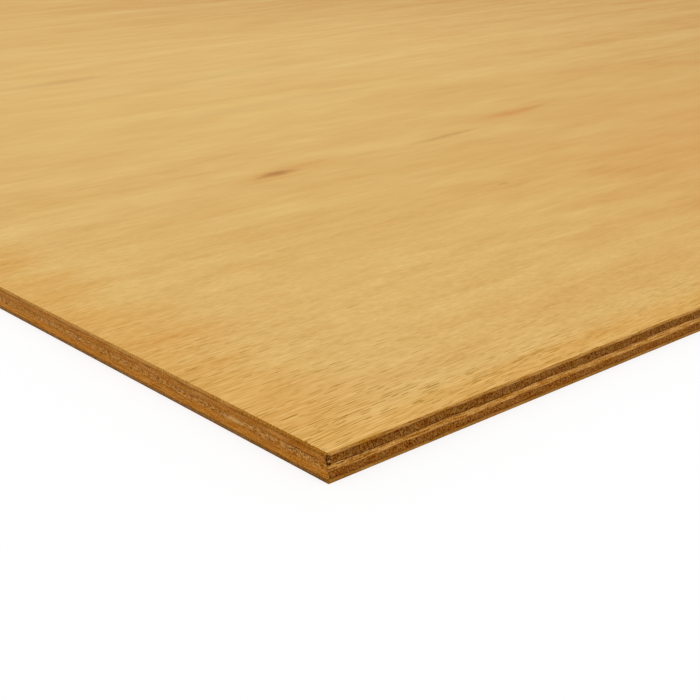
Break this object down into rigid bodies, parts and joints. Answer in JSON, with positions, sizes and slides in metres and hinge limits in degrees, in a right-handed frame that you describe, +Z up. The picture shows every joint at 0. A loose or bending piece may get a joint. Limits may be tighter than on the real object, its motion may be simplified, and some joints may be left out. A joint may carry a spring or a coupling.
{
  "type": "plywood sheet",
  "caption": "Flat rectangular sheet of hardwood-faced plywood: cross-laminated veneers with a pale golden face and striped sawn edges, used as sheathing, panelling or raw stock.",
  "frame": {"origin": "middle of the sheet's underside, which lies on the floor", "axes": "+X along the sheet's length, which is the grain of the face; +Y across its width; +Z up, out of the show face"},
  "size_m": [2.44, 1.22, 0.009],
  "materials": {
    "face_veneer": "sanded, unsealed golden hardwood veneer with fine open pores",
    "crossband": "sawn brown hardwood veneer: amber side grain on the short edges, dark end grain on the long edges",
    "core_veneer": "sawn golden-brown hardwood veneer, torn in places",
    "back_veneer": "sanded, unsealed golden-brown hardwood veneer"
  },
  "bodies": {
    "root": {"face_veneer": "face_veneer", "upper_crossband": "crossband", "core_veneer": "core_veneer", "lower_crossband": "crossband", "back_veneer": "back_veneer"}
  },
  "joints": []
}
